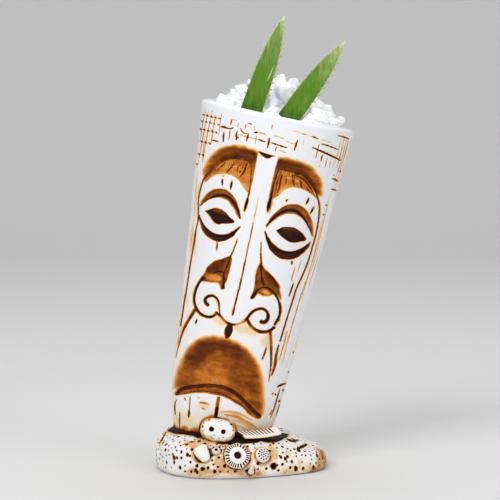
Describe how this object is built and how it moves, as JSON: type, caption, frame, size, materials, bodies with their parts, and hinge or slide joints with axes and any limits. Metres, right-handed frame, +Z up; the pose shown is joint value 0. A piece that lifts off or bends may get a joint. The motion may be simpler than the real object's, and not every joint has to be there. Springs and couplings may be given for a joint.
{
  "type": "tiki mug",
  "caption": "Leaning ceramic tiki mug with a carved mask face on a reef-shaped base, holding crushed ice and two lift-out aloe leaves.",
  "frame": {"origin": "centre of the reef base's flat underside, which the mug stands on", "axes": "+Z up from the table; +X the way the cup leans; -Y the front, where the carved face is"},
  "size_m": [0.1054, 0.0818, 0.2395],
  "materials": {
    "cup_glaze": "gloss",
    "reef_glaze": "gloss",
    "sprig_glaze": "gloss",
    "ice": "gloss",
    "leaf": "satin"
  },
  "bodies": {
    "mug": {"cup_body": "cup_glaze", "reef_base": "reef_glaze", "bone_bead": "sprig_glaze", "comb_shell": "sprig_glaze", "daisy_barnacle": "sprig_glaze", "pearl_urchin": "sprig_glaze", "fan_shell": "sprig_glaze", "cone_shell": "sprig_glaze", "barnacle_1": "sprig_glaze", "barnacle_2": "sprig_glaze", "barnacle_3": "sprig_glaze"},
    "ice": {"ice_bed": "ice", "ice_chunk_01": "ice", "ice_chunk_02": "ice", "ice_chunk_03": "ice", "ice_chunk_04": "ice", "ice_chunk_05": "ice", "ice_chunk_06": "ice", "ice_chunk_07": "ice", "ice_chunk_08": "ice", "ice_chunk_09": "ice", "ice_chunk_10": "ice", "ice_chunk_11": "ice", "ice_chunk_12": "ice", "ice_chunk_13": "ice", "ice_chunk_14": "ice", "ice_chunk_15": "ice"},
    "leaf_left": {"leaf_left": "leaf"},
    "leaf_right": {"leaf_right": "leaf"}
  },
  "joints": [
    {"name": "ice_lift", "type": "slide", "parent": "mug", "child": "ice", "axis": [0.1822, 0, 0.9833], "range_m": [0, 0.05]},
    {"name": "leaf_left_pull", "type": "slide", "parent": "ice", "child": "leaf_left", "axis": [0.3264, -0.1564, 0.9322], "range_m": [0, 0.045]},
    {"name": "leaf_right_pull", "type": "slide", "parent": "ice", "child": "leaf_right", "axis": [0.5819, -0.1564, 0.798], "range_m": [0, 0.045]}
  ]
}
